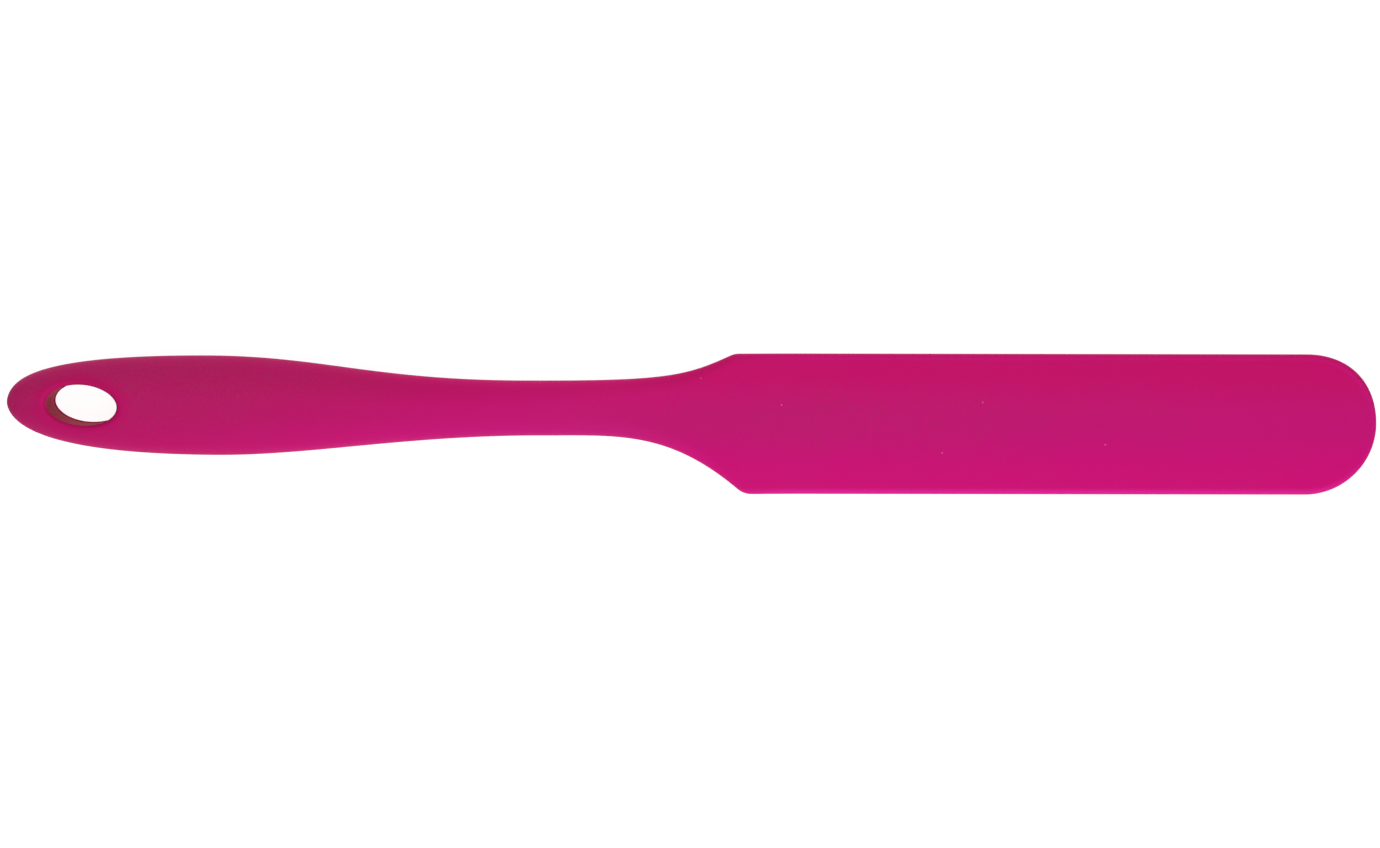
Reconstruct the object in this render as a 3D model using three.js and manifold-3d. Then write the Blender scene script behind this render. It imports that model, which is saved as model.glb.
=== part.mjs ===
// Silicone offset spatula (palette knife), lying flat as it rests on a table.
// Units are millimetres. +X runs from the handle's butt to the blade's tip, +Z is up,
// the blade is centred on Y = 0, and the origin is on the table under the middle of the length.
//
// A stainless strip carries the blade and runs back through the offset neck into a nylon core
// that stiffens the handle. Two rivets pin the strip's tang to the core, and one skin of
// silicone is moulded over everything. The core shows only inside the wall of the hanging hole.

import * as THREE from "three";
import { mergeVertices } from "three/addons/utils/BufferGeometryUtils.js";
import Module from "manifold-3d";

// ---- Overall size -------------------------------------------------------------------------
const LENGTH = 300;
const BUTT_X = -LENGTH / 2;
const TIP_X = LENGTH / 2;
const BLADE_HALF_WIDTH = 15.5;
const TIP_CENTRE_X = TIP_X - BLADE_HALF_WIDTH;
const AXIS_Y = 4.9; // the handle's axis lies beside the blade's centre line
const BUTT_Z = 5.8;

// ---- Blade --------------------------------------------------------------------------------
const BLADE_ROOT_X = 26; // the offset neck ends here and the blade is flat from here on
const BLADE_ROOT_THICKNESS = 3;
const BLADE_TIP_THICKNESS = 2.4;
const BLADE_EDGE_ROUND = 1;
const TIP_FULLNESS = 0.024; // the share by which the tip's +Y corner stands out past a round end

// ---- Handle -------------------------------------------------------------------------------
const HANDLE_ROUNDNESS = 0.85; // how much of the half-width the rounded flank takes
const FLANK_START_X = -35; // the rounded flank starts to shrink to the blade's thin edge
const FLANK_END_X = 18;

// ---- Hanging hole, through the butt --------------------------------------------------------
const HOLE_X = -132.75;
const HOLE_Y = 4.55;
const HOLE_LONG_RADIUS = 7.85;
const HOLE_CROSS_RADIUS = 4.4;
const HOLE_TURN = THREE.MathUtils.degToRad(-3.5); // its long axis turns a little from the handle's
const HOLE_TOP_ROUND = 1.4;
const HOLE_UNDER_ROUND = 0.5;

// ---- Silicone over the inner pieces ---------------------------------------------------------
const FIT_GAP = 0.3; // clearance between an inner piece and the silicone round it
const HANDLE_WALL = 1.4;
const BLADE_EDGE_WALL = 3;
const CORE_DROP = 0.3; // the core lies this much below the middle of the butt
const CORE_DROP_START_X = -122;
const CORE_DROP_END_X = -92;

// ---- Nylon core -----------------------------------------------------------------------------
const CORE_FRONT_X = -22;
const CORE_HOLE_RECESS = 0.15; // the core's eyelet stands back from the silicone lips

// ---- Stainless strip ------------------------------------------------------------------------
const STRIP_THICKNESS = 0.6;
const TANG_HALF_WIDTH = 2.7;
const TANG_END_X = -70;
const TANG_FRONT_X = -16;
const ANCHOR_RADIUS = 2.5; // holes that the silicone bridges through
const ANCHOR_X = [45, 80, 115];

// ---- Rivets ---------------------------------------------------------------------------------
const RIVET_X = { rear: -64, front: -50 };
const RIVET_SHANK_RADIUS = 1.2;
const RIVET_HEAD_RADIUS = 2.4;
const RIVET_HEAD_THICKNESS = 0.6;
const RIVET_HEAD_SINK = 1; // depth of the recess for a rivet's head in the core

// ---- Fineness -------------------------------------------------------------------------------
const CURVE_STEPS = 60; // points along each curve of an outline
const FLANK_STEPS = 8; // facets round a rounded edge, from top to bottom
const TIP_STEPS = 20; // facets round the blade's tip
const HOLE_STEPS = 36;
const RIM_STEPS = 4; // facets down the rounded rim of the hanging hole
const ROUND_STEPS = 20;
const MERGE_DISTANCE = 1e-4; // vertices closer than this are one
const CUT_MARGIN = 1; // how far a cutter runs past the face it cuts
const CUTTER_HEIGHT = 60; // of an upright cutter that goes through the whole handle

// Sections are placed along X in stretches. A stretch is where it ends and its number of steps.
const SKIN_STRETCHES = [
  [-140, 6], [-112, 5], [-36, 10], [0, 6], [6, 2], [10, 5], [14, 4], [BLADE_ROOT_X, 2],
  [TIP_CENTRE_X, 4],
];
const CORE_STRETCHES = [[-134, 6], [-106, 4], [-36, 8]];
const CORE_FRONT_STEPS = 2;
const STRIP_STATIONS = [
  -52, -40, -28, -22, TANG_FRONT_X, -10, -4, 1, 5, 9, 11, 13, 15, 19, BLADE_ROOT_X, 36, 62, 98,
  TIP_CENTRE_X,
];

// Outlines are chains of cubic curves between knots. A knot has its place, the slope of the
// outline there, and how far its handles reach back and ahead along X. The first knot is the
// butt, where the outline starts square to X and its handle reaches `rise` up or down.
const UPPER_EDGE = [
  { x: BUTT_X, y: AXIS_Y, rise: 5.5 },
  { x: -106, y: 15.2, slope: 0, back: 36, ahead: 25 },
  { x: -37, y: 10.1, slope: 0, back: 33, ahead: 29 },
  { x: 7, y: 14.75, slope: 0.45, back: 10, ahead: 1.1 },
  { x: 9.6, y: BLADE_HALF_WIDTH, slope: 0, back: 0.9, ahead: 10 },
  { x: TIP_CENTRE_X, y: BLADE_HALF_WIDTH, slope: 0, back: 10 },
];
const LOWER_EDGE = [
  { x: BUTT_X, y: AXIS_Y, rise: -5.3 },
  { x: -104, y: -6.55, slope: 0, back: 37.5, ahead: 20.5 },
  { x: -33, y: -1.87, slope: 0, back: 29, ahead: 16 },
  { x: 9.2, y: -14.1, slope: -0.85, back: 15.3, ahead: 0.9 },
  { x: 12.9, y: -BLADE_HALF_WIDTH, slope: 0, back: 1.9, ahead: 10 },
  { x: TIP_CENTRE_X, y: -BLADE_HALF_WIDTH, slope: 0, back: 10 },
];
const TOP_LINE = [
  { x: BUTT_X, y: BUTT_Z, rise: 7.2 },
  { x: -36, y: 14.8, slope: 0, back: 88, ahead: 26 },
  { x: BLADE_ROOT_X, y: BLADE_ROOT_THICKNESS, slope: 0, back: 30, ahead: 30 },
  { x: TIP_X, y: BLADE_TIP_THICKNESS, slope: 0, back: 30 },
];
const UNDER_LINE = [
  { x: BUTT_X, y: BUTT_Z, rise: -5.5 },
  { x: -124, y: 0, slope: 0, back: 22, ahead: 44 },
  { x: -28, y: 6.2, slope: 0, back: 36, ahead: 20 },
  { x: BLADE_ROOT_X, y: 0, slope: 0, back: 28, ahead: 30 },
  { x: TIP_X, y: 0, slope: 0, back: 30 },
];

const PINK_SILICONE = { color: 0xc81473, roughness: 0.55, metalness: 0 };
const RED_NYLON = { color: 0xaa283e, roughness: 0.6, metalness: 0 };
const STAINLESS = { color: 0xb4b8bc, roughness: 0.3, metalness: 1 };
const RIVET_STEEL = { color: 0x9ba0a6, roughness: 0.35, metalness: 1 };

const wasm = await Module();
wasm.setup();

// ---- Outlines -------------------------------------------------------------------------------

// Points along one cubic curve between two knots.
function curvePoints(from, to) {
  const leaving = from.rise === undefined
    ? new THREE.Vector2(from.x + from.ahead, from.y + from.slope * from.ahead)
    : new THREE.Vector2(from.x, from.y + from.rise);
  const arriving = new THREE.Vector2(to.x - to.back, to.y - to.slope * to.back);
  const curve = new THREE.CubicBezierCurve(
    new THREE.Vector2(from.x, from.y),
    leaving,
    arriving,
    new THREE.Vector2(to.x, to.y),
  );
  return curve.getPoints(CURVE_STEPS);
}

function chainPoints(knots) {
  const points = [new THREE.Vector2(knots[0].x, knots[0].y)];
  for (let i = 1; i < knots.length; i++) {
    points.push(...curvePoints(knots[i - 1], knots[i]).slice(1));
  }
  return points;
}

// The outline moved inwards by a distance: side is +1 for an upper line, -1 for a lower one.
function insetPoints(points, distance, side) {
  return points.map((point, i) => {
    const before = points[Math.max(i - 1, 0)];
    const after = points[Math.min(i + 1, points.length - 1)];
    const along = i === 0
      ? new THREE.Vector2(0, side)
      : new THREE.Vector2().subVectors(after, before).normalize();
    const inwards = new THREE.Vector2(along.y * side, -along.x * side);
    return point.clone().addScaledVector(inwards, distance);
  });
}

// The height of a line of points at x, by straight steps between them.
function heightAt(points, x) {
  const last = points.length - 1;
  const next = points.findIndex((point) => point.x >= x);
  if (next <= 0) return points[next === 0 ? 0 : last].y;
  const a = points[next - 1];
  const b = points[next];
  return THREE.MathUtils.mapLinear(x, a.x, b.x, a.y, b.y);
}

// The spatula's outer form moved inwards: its plan by edgeInset and its side view by faceInset.
function formInset(edgeInset, faceInset) {
  const upper = insetPoints(chainPoints(UPPER_EDGE), edgeInset, 1);
  const lower = insetPoints(chainPoints(LOWER_EDGE), edgeInset, -1);
  const top = insetPoints(chainPoints(TOP_LINE), faceInset, 1);
  const under = insetPoints(chainPoints(UNDER_LINE), faceInset, -1);
  return {
    upperY: (x) => heightAt(upper, x),
    lowerY: (x) => heightAt(lower, x),
    topZ: (x) => heightAt(top, x),
    underZ: (x) => heightAt(under, x),
    tipRadius: BLADE_HALF_WIDTH - edgeInset,
  };
}

const OUTER = formInset(0, 0);

function middleZ(x) {
  return (OUTER.topZ(x) + OUTER.underZ(x)) / 2;
}

function handleAxisY(x) {
  return (OUTER.upperY(x) + OUTER.lowerY(x)) / 2;
}

function flankWidth(halfWidth, x) {
  const blend = THREE.MathUtils.smoothstep(x, FLANK_START_X, FLANK_END_X);
  const thinEdge = Math.min(BLADE_EDGE_ROUND, halfWidth);
  return THREE.MathUtils.lerp(HANDLE_ROUNDNESS * halfWidth, thinEdge, blend);
}

function coreDrop(x) {
  return CORE_DROP * (1 - THREE.MathUtils.smoothstep(x, CORE_DROP_START_X, CORE_DROP_END_X));
}

// ---- Lofted bodies --------------------------------------------------------------------------
// A body is lofted from spokes. A spoke is one half of a cross-section: a list of points from
// the middle of the upper face, round the edge, to the middle of the lower face. The spokes go
// round the whole plan: along the upper edge to the tip, and back along the lower edge.

// Half a section with a rounded edge: how far out each point is, and how high.
function roundedEdge(halfWidth, halfHeight, flank) {
  const steps = Array.from({ length: FLANK_STEPS + 1 }, (_, k) => (Math.PI * k) / FLANK_STEPS);
  return [
    [0, halfHeight],
    ...steps.map((turn) => [
      halfWidth - flank + flank * Math.sin(turn),
      halfHeight * Math.cos(turn),
    ]),
    [0, -halfHeight],
  ];
}

function squareEdge(halfWidth, halfHeight) {
  return [
    [0, halfHeight],
    [halfWidth, halfHeight],
    [halfWidth, -halfHeight],
    [0, -halfHeight],
  ];
}

function placeSpoke(profile, centre, direction) {
  return profile.map(([out, up]) =>
    new THREE.Vector3(centre.x + direction.x * out, centre.y + direction.y * out, centre.z + up));
}

// A closed surface over spokes that lie one after another round the plan.
function loftGeometry(spokes) {
  const perSpoke = spokes[0].length;
  const positions = spokes.flat().flatMap((point) => point.toArray());
  const faces = [];
  spokes.forEach((_, i) => {
    const here = i * perSpoke;
    const there = ((i + 1) % spokes.length) * perSpoke;
    for (let k = 0; k < perSpoke - 1; k++) {
      faces.push([here + k, there + k, there + k + 1]);
      faces.push([here + k, there + k + 1, here + k + 1]);
    }
  });
  return closedGeometry(positions, faces);
}

// Shared vertices are merged, and faces that the merging left without area are dropped.
function closedGeometry(positions, faces) {
  const loose = new THREE.BufferGeometry();
  loose.setAttribute("position", new THREE.Float32BufferAttribute(positions, 3));
  loose.setIndex(faces.flat());
  const merged = mergeVertices(loose, MERGE_DISTANCE);
  const index = Array.from(merged.index.array);
  const kept = [];
  for (let i = 0; i < index.length; i += 3) {
    const [a, b, c] = index.slice(i, i + 3);
    if (a !== b && b !== c && c !== a) kept.push(a, b, c);
  }
  merged.setIndex(kept);
  return merged;
}

// A body between fromX and the tip. sectionAt gives a station's centre, half-width and profile,
// and tipProfile the half section that turns round the tip. A fullness takes the tip's +Y corner
// further out than a round end.
function bodyToTip(stations, sectionAt, tipCentre, tipProfile, fullness = 0) {
  const sections = stations.map(sectionAt);
  const upper = sections.map((s) => placeSpoke(s.profile, s.centre, { x: 0, y: 1 }));
  const lower = sections.map((s) => placeSpoke(s.profile, s.centre, { x: 0, y: -1 }));
  const tip = Array.from({ length: TIP_STEPS - 1 }, (_, k) => {
    const turn = Math.PI / 2 - (Math.PI * (k + 1)) / TIP_STEPS;
    const reach = 1 + (turn > 0 ? fullness * Math.sin(2 * turn) ** 2 : 0);
    const direction = { x: reach * Math.cos(turn), y: reach * Math.sin(turn) };
    return placeSpoke(tipProfile, tipCentre, direction);
  });
  return loftGeometry([...upper, ...tip, ...lower.reverse()]);
}

// A body that ends in a flat face square to X at its last station.
function bodyToFace(stations, sectionAt) {
  const sections = stations.map(sectionAt);
  const end = sections[sections.length - 1];
  const endMiddle = end.profile.map(([, up]) => [0, up]);
  const upper = sections.map((s) => placeSpoke(s.profile, s.centre, { x: 0, y: 1 }));
  const lower = sections.map((s) => placeSpoke(s.profile, s.centre, { x: 0, y: -1 }));
  return loftGeometry([
    ...upper,
    placeSpoke(endMiddle, end.centre, { x: 0, y: 1 }),
    ...lower.reverse(),
  ]);
}

// Stations along X: close together where the butt rounds off, even along each later stretch.
function stationsFrom(startX, stretches) {
  const [buttEnd, buttSteps] = stretches[0];
  const butt = Array.from({ length: buttSteps + 1 }, (_, k) =>
    startX + (buttEnd - startX) * (1 - Math.cos((Math.PI * k) / (2 * buttSteps))));
  const rest = stretches.slice(1).flatMap(([endX, steps], i) => {
    const fromX = stretches[i][0];
    return Array.from({ length: steps }, (_, k) => fromX + ((endX - fromX) * (k + 1)) / steps);
  });
  return [...butt, ...rest];
}

// A section of the form, rounded at its edges, with its middle lowered by drop.
function formSection(form, x, drop = 0) {
  const upperY = form.upperY(x);
  const lowerY = form.lowerY(x);
  const topZ = form.topZ(x);
  const underZ = form.underZ(x);
  const halfWidth = (upperY - lowerY) / 2;
  const centre = new THREE.Vector3(x, (upperY + lowerY) / 2, (topZ + underZ) / 2 - drop);
  return {
    centre,
    profile: roundedEdge(halfWidth, (topZ - underZ) / 2, flankWidth(halfWidth, x)),
  };
}

// ---- Solids ---------------------------------------------------------------------------------

function solid(geometry) {
  const bare = geometry.clone();
  bare.deleteAttribute("normal");
  bare.deleteAttribute("uv");
  const merged = mergeVertices(bare, MERGE_DISTANCE);
  return new wasm.Manifold(new wasm.Mesh({
    numProp: 3,
    vertProperties: merged.attributes.position.array,
    triVerts: new Uint32Array(merged.index.array),
  }));
}

function meshOf(name, body, finish) {
  const made = body.getMesh();
  const geometry = new THREE.BufferGeometry();
  geometry.setAttribute("position", new THREE.BufferAttribute(made.vertProperties, 3));
  geometry.setIndex(new THREE.BufferAttribute(made.triVerts, 1));
  geometry.computeVertexNormals();
  const mesh = new THREE.Mesh(geometry, new THREE.MeshStandardMaterial(finish));
  mesh.name = name;
  return mesh;
}

// A turned body standing along Z: the profile is a list of [radius, height], closed on the axis.
function turned(profile, x, y, z, steps = ROUND_STEPS) {
  const points = profile.map(([radius, height]) => new THREE.Vector2(radius, height));
  const geometry = new THREE.LatheGeometry(points, steps);
  geometry.rotateX(Math.PI / 2);
  geometry.translate(x, y, z);
  return solid(geometry);
}

function disc(radius, lowZ, highZ, x, y, steps = ROUND_STEPS) {
  return turned([[0, lowZ], [radius, lowZ], [radius, highZ], [0, highZ]], x, y, 0, steps);
}

// An upright oval cutter through the butt, grown sideways by grow.
function ovalCutter(grow) {
  const geometry = new THREE.CylinderGeometry(1, 1, CUTTER_HEIGHT, HOLE_STEPS);
  geometry.rotateX(Math.PI / 2);
  geometry.scale(HOLE_LONG_RADIUS + grow, HOLE_CROSS_RADIUS + grow, 1);
  geometry.rotateZ(HOLE_TURN);
  geometry.translate(HOLE_X, HOLE_Y, BUTT_Z);
  return solid(geometry);
}

// The hanging hole through the silicone: a straight oval wall, flared by a rounded rim where it
// meets each sloping face. Its rings are oval, and each point stands off its own face height.
function hangingHoleCutter() {
  const arc = Array.from({ length: RIM_STEPS + 1 }, (_, k) => (Math.PI * k) / (2 * RIM_STEPS));
  const flare = (round) => [
    [2 * round, 2 * round],
    ...arc.map((turn) => [round * (1 - Math.sin(turn)), -round * (1 - Math.cos(turn))]),
  ];
  const centre = new THREE.Vector2(HOLE_X, HOLE_Y);
  const ring = (grow, lift, faceZ, side) =>
    Array.from({ length: HOLE_STEPS }, (_, k) => {
      const turn = (2 * Math.PI * k) / HOLE_STEPS;
      const { x, y } = new THREE.Vector2(
        HOLE_X + (HOLE_LONG_RADIUS + grow) * Math.cos(turn),
        HOLE_Y + (HOLE_CROSS_RADIUS + grow) * Math.sin(turn),
      ).rotateAround(centre, HOLE_TURN);
      return new THREE.Vector3(x, y, faceZ(x, y) + side * lift);
    });
  const rings = [
    ...flare(HOLE_UNDER_ROUND).map(([grow, lift]) => ring(grow, lift, underFaceZ, -1)),
    ...flare(HOLE_TOP_ROUND).toReversed().map(([grow, lift]) => ring(grow, lift, topFaceZ, 1)),
  ];
  return solid(stackedRings(rings));
}

function faceOffset(x, y) {
  const { centre, profile } = formSection(OUTER, x);
  const halfHeight = profile[0][1];
  const halfWidth = (OUTER.upperY(x) - OUTER.lowerY(x)) / 2;
  const flank = flankWidth(halfWidth, x);
  const into = Math.max(Math.abs(y - centre.y) - (halfWidth - flank), 0) / flank;
  return { centreZ: centre.z, rise: halfHeight * Math.sqrt(Math.max(1 - into * into, 0)) };
}

function topFaceZ(x, y) {
  const { centreZ, rise } = faceOffset(x, y);
  return centreZ + rise;
}

function underFaceZ(x, y) {
  const { centreZ, rise } = faceOffset(x, y);
  return centreZ - rise;
}

// A closed surface over rings of equal count, from the lowest up, with a fan at each end.
function stackedRings(rings) {
  const count = rings[0].length;
  const positions = rings.flat().flatMap((point) => point.toArray());
  const middle = (ring) => ring
    .reduce((sum, point) => sum.add(point), new THREE.Vector3())
    .divideScalar(count);
  positions.push(...middle(rings[0]).toArray());
  positions.push(...middle(rings[rings.length - 1]).toArray());
  const lowMiddle = rings.length * count;
  const highMiddle = lowMiddle + 1;
  const topStart = (rings.length - 1) * count;
  const faces = [];
  for (let k = 0; k < count; k++) {
    const next = (k + 1) % count;
    faces.push([lowMiddle, next, k]);
    faces.push([highMiddle, topStart + k, topStart + next]);
    for (let r = 0; r < rings.length - 1; r++) {
      const low = r * count;
      const high = low + count;
      faces.push([low + k, low + next, high + next]);
      faces.push([low + k, high + next, high + k]);
    }
  }
  return closedGeometry(positions, faces);
}

// ---- The strip's form, shared by the strip and the space it lies in ---------------------------

function stripForm(grow) {
  const form = formInset(BLADE_EDGE_WALL + FIT_GAP - grow, 0);
  const tang = TANG_HALF_WIDTH + grow;
  const sectionAt = (x) => {
    const axisY = handleAxisY(x);
    const inTang = x < TANG_FRONT_X;
    const upperY = inTang ? Math.min(form.upperY(x), axisY + tang) : form.upperY(x);
    const lowerY = inTang ? Math.max(form.lowerY(x), axisY - tang) : form.lowerY(x);
    return {
      centre: new THREE.Vector3(x, (upperY + lowerY) / 2, middleZ(x)),
      profile: squareEdge((upperY - lowerY) / 2, STRIP_THICKNESS / 2 + grow),
    };
  };
  const stations = [TANG_END_X - grow, ...STRIP_STATIONS];
  const tipCentre = new THREE.Vector3(TIP_CENTRE_X, 0, middleZ(TIP_CENTRE_X));
  const profile = squareEdge(form.tipRadius, STRIP_THICKNESS / 2 + grow);
  return { stations, sectionAt, tipCentre, profile };
}

function stripBody(grow) {
  const { stations, sectionAt, tipCentre, profile } = stripForm(grow);
  const first = sectionAt(stations[0]);
  const startFace = { centre: first.centre, profile: first.profile.map(([, up]) => [0, up]) };
  const sections = (x, i) => (i === 0 ? startFace : sectionAt(x));
  return solid(bodyToTip([stations[0], ...stations], sections, tipCentre, profile));
}

function anchorPins(radius) {
  const top = BLADE_ROOT_THICKNESS + CUT_MARGIN;
  return ANCHOR_X.map((x) => disc(radius, -CUT_MARGIN, top, x, 0));
}

// ---- The core's form --------------------------------------------------------------------------

function coreBody(inset, frontX) {
  const form = formInset(inset, inset);
  const stretches = [...CORE_STRETCHES, [frontX, CORE_FRONT_STEPS]];
  const stations = stationsFrom(BUTT_X + inset, stretches);
  return solid(bodyToFace(stations, (x) => formSection(form, x, coreDrop(x))));
}

// How far the core reaches above and below the strip's middle at a rivet.
function coreHalfHeight(x) {
  return (OUTER.topZ(x) - OUTER.underZ(x)) / 2 - HANDLE_WALL - FIT_GAP;
}

// ---- Pieces -----------------------------------------------------------------------------------

function siliconeSkin() {
  const stations = stationsFrom(BUTT_X, SKIN_STRETCHES);
  const tipMiddleZ = middleZ(TIP_CENTRE_X);
  const tipCentre = new THREE.Vector3(TIP_CENTRE_X, 0, tipMiddleZ);
  const tipProfile = roundedEdge(BLADE_HALF_WIDTH, tipMiddleZ, BLADE_EDGE_ROUND);
  const sectionAt = (x) => formSection(OUTER, x);
  const outer = solid(bodyToTip(stations, sectionAt, tipCentre, tipProfile, TIP_FULLNESS));
  const coreSpace = coreBody(HANDLE_WALL, CORE_FRONT_X + FIT_GAP);
  let stripSpace = stripBody(FIT_GAP);
  for (const bridge of anchorPins(ANCHOR_RADIUS - FIT_GAP)) {
    stripSpace = stripSpace.subtract(bridge);
  }
  return outer.subtract(coreSpace.add(stripSpace)).subtract(hangingHoleCutter());
}

function handleCore() {
  let core = coreBody(HANDLE_WALL + FIT_GAP, CORE_FRONT_X)
    .subtract(stripBody(FIT_GAP))
    .subtract(ovalCutter(CORE_HOLE_RECESS));
  for (const x of Object.values(RIVET_X)) {
    const y = handleAxisY(x);
    const z = middleZ(x);
    const floor = coreHalfHeight(x) - RIVET_HEAD_SINK;
    const outside = coreHalfHeight(x) + HANDLE_WALL;
    core = core
      .subtract(disc(RIVET_SHANK_RADIUS + FIT_GAP, z - outside, z + outside, x, y))
      .subtract(disc(RIVET_HEAD_RADIUS + FIT_GAP, z + floor, z + outside, x, y))
      .subtract(disc(RIVET_HEAD_RADIUS + FIT_GAP, z - outside, z - floor, x, y));
  }
  return core;
}

function bladeSpring() {
  let strip = stripBody(0);
  for (const hole of anchorPins(ANCHOR_RADIUS)) {
    strip = strip.subtract(hole);
  }
  for (const x of Object.values(RIVET_X)) {
    const z = middleZ(x);
    const radius = RIVET_SHANK_RADIUS + FIT_GAP;
    strip = strip.subtract(disc(radius, z - CUT_MARGIN, z + CUT_MARGIN, x, handleAxisY(x)));
  }
  return strip;
}

function tangRivet(x) {
  const inner = coreHalfHeight(x) - RIVET_HEAD_SINK + FIT_GAP;
  const outer = inner + RIVET_HEAD_THICKNESS;
  const profile = [
    [0, -outer],
    [RIVET_HEAD_RADIUS, -outer],
    [RIVET_HEAD_RADIUS, -inner],
    [RIVET_SHANK_RADIUS, -inner],
    [RIVET_SHANK_RADIUS, inner],
    [RIVET_HEAD_RADIUS, inner],
    [RIVET_HEAD_RADIUS, outer],
    [0, outer],
  ];
  return turned(profile, x, handleAxisY(x), middleZ(x));
}

const spatula = new THREE.Group();
spatula.add(meshOf("silicone_skin", siliconeSkin(), PINK_SILICONE));
spatula.add(meshOf("handle_core", handleCore(), RED_NYLON));
spatula.add(meshOf("blade_spring", bladeSpring(), STAINLESS));
for (const [place, x] of Object.entries(RIVET_X)) {
  spatula.add(meshOf(`tang_rivet_${place}`, tangRivet(x), RIVET_STEEL));
}

export default spatula;
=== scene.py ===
import math

import bmesh
import bpy
import numpy as np
from mathutils import Matrix, Vector


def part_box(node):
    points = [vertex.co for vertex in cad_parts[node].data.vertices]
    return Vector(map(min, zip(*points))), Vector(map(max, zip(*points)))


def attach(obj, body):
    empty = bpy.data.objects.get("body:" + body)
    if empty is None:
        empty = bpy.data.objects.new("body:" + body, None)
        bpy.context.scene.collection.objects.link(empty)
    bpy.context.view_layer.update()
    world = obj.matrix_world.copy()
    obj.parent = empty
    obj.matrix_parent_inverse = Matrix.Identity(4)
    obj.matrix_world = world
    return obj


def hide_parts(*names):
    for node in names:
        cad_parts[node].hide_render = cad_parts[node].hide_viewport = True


# Looks of the silicone offset spatula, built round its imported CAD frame. The silicone skin is made
# again at full smoothness; the nylon core, the stainless strip and the two rivets inside it stay as
# the CAD made them and get their materials. The form is worked out in millimetres; meshes, camera
# and lights are in metres.

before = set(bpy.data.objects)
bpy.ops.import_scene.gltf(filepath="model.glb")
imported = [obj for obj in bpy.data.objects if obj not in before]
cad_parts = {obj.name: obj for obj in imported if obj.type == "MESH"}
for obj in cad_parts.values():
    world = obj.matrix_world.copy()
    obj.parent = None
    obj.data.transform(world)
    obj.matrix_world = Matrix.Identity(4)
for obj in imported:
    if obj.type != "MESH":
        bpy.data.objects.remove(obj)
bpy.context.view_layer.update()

MM = 0.001
SKIN_LOW, SKIN_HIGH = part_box("silicone_skin")

# ---- Driving sizes, the same as the CAD's ----------------------------------------------------
BUTT_X = SKIN_LOW.x / MM
TIP_X = SKIN_HIGH.x / MM
BLADE_HALF_WIDTH = SKIN_HIGH.y / MM
TIP_CENTRE_X = TIP_X - BLADE_HALF_WIDTH
AXIS_Y = 4.9
BUTT_Z = 5.8
BLADE_ROOT_X = 26
BLADE_ROOT_THICKNESS = 3
BLADE_TIP_THICKNESS = 2.4
BLADE_EDGE_ROUND = 1
TIP_FULLNESS = 0.024
HANDLE_ROUNDNESS = 0.85
FLANK_START_X = -35
FLANK_END_X = 18

HOLE_X = -132.75
HOLE_Y = 4.55
HOLE_LONG_RADIUS = 7.85
HOLE_CROSS_RADIUS = 4.4
HOLE_TURN = math.radians(-3.5)
HOLE_TOP_ROUND = 1.4
HOLE_UNDER_ROUND = 0.5

FIT_GAP = 0.3
HANDLE_WALL = 1.4
BLADE_EDGE_WALL = 3
CORE_DROP = 0.3
CORE_DROP_START_X = -122
CORE_DROP_END_X = -92
CORE_FRONT_X = -22
STRIP_THICKNESS = 0.6
TANG_HALF_WIDTH = 2.7
TANG_END_X = -70
TANG_FRONT_X = -16
ANCHOR_RADIUS = 2.5
ANCHOR_X = (45, 80, 115)

# The parting line that the two halves of the mould leave round the edge.
PARTING_HEIGHT = 0.05
PARTING_WIDTH = 0.09

# Outlines as chains of cubic curves between knots, in millimetres, as in the CAD: each knot has
# its slope and how far its handles reach back and ahead along X. The first is the butt, where
# the outline starts square to X with a handle of the given rise.
UPPER_EDGE = (
    dict(x=BUTT_X, y=AXIS_Y, rise=5.5),
    dict(x=-106, y=15.2, slope=0, back=36, ahead=25),
    dict(x=-37, y=10.1, slope=0, back=33, ahead=29),
    dict(x=7, y=14.75, slope=0.45, back=10, ahead=1.1),
    dict(x=9.6, y=BLADE_HALF_WIDTH, slope=0, back=0.9, ahead=10),
    dict(x=TIP_CENTRE_X, y=BLADE_HALF_WIDTH, slope=0, back=10),
)
LOWER_EDGE = (
    dict(x=BUTT_X, y=AXIS_Y, rise=-5.3),
    dict(x=-104, y=-6.55, slope=0, back=37.5, ahead=20.5),
    dict(x=-33, y=-1.87, slope=0, back=29, ahead=16),
    dict(x=9.2, y=-14.1, slope=-0.85, back=15.3, ahead=0.9),
    dict(x=12.9, y=-BLADE_HALF_WIDTH, slope=0, back=1.9, ahead=10),
    dict(x=TIP_CENTRE_X, y=-BLADE_HALF_WIDTH, slope=0, back=10),
)
TOP_LINE = (
    dict(x=BUTT_X, y=BUTT_Z, rise=7.2),
    dict(x=-36, y=14.8, slope=0, back=88, ahead=26),
    dict(x=BLADE_ROOT_X, y=BLADE_ROOT_THICKNESS, slope=0, back=30, ahead=30),
    dict(x=TIP_X, y=BLADE_TIP_THICKNESS, slope=0, back=30),
)
UNDER_LINE = (
    dict(x=BUTT_X, y=BUTT_Z, rise=-5.5),
    dict(x=-124, y=0, slope=0, back=22, ahead=44),
    dict(x=-28, y=6.2, slope=0, back=36, ahead=20),
    dict(x=BLADE_ROOT_X, y=0, slope=0, back=28, ahead=30),
    dict(x=TIP_X, y=0, slope=0, back=30),
)


# ---- Camera ----------------------------------------------------------------------------------

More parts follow.
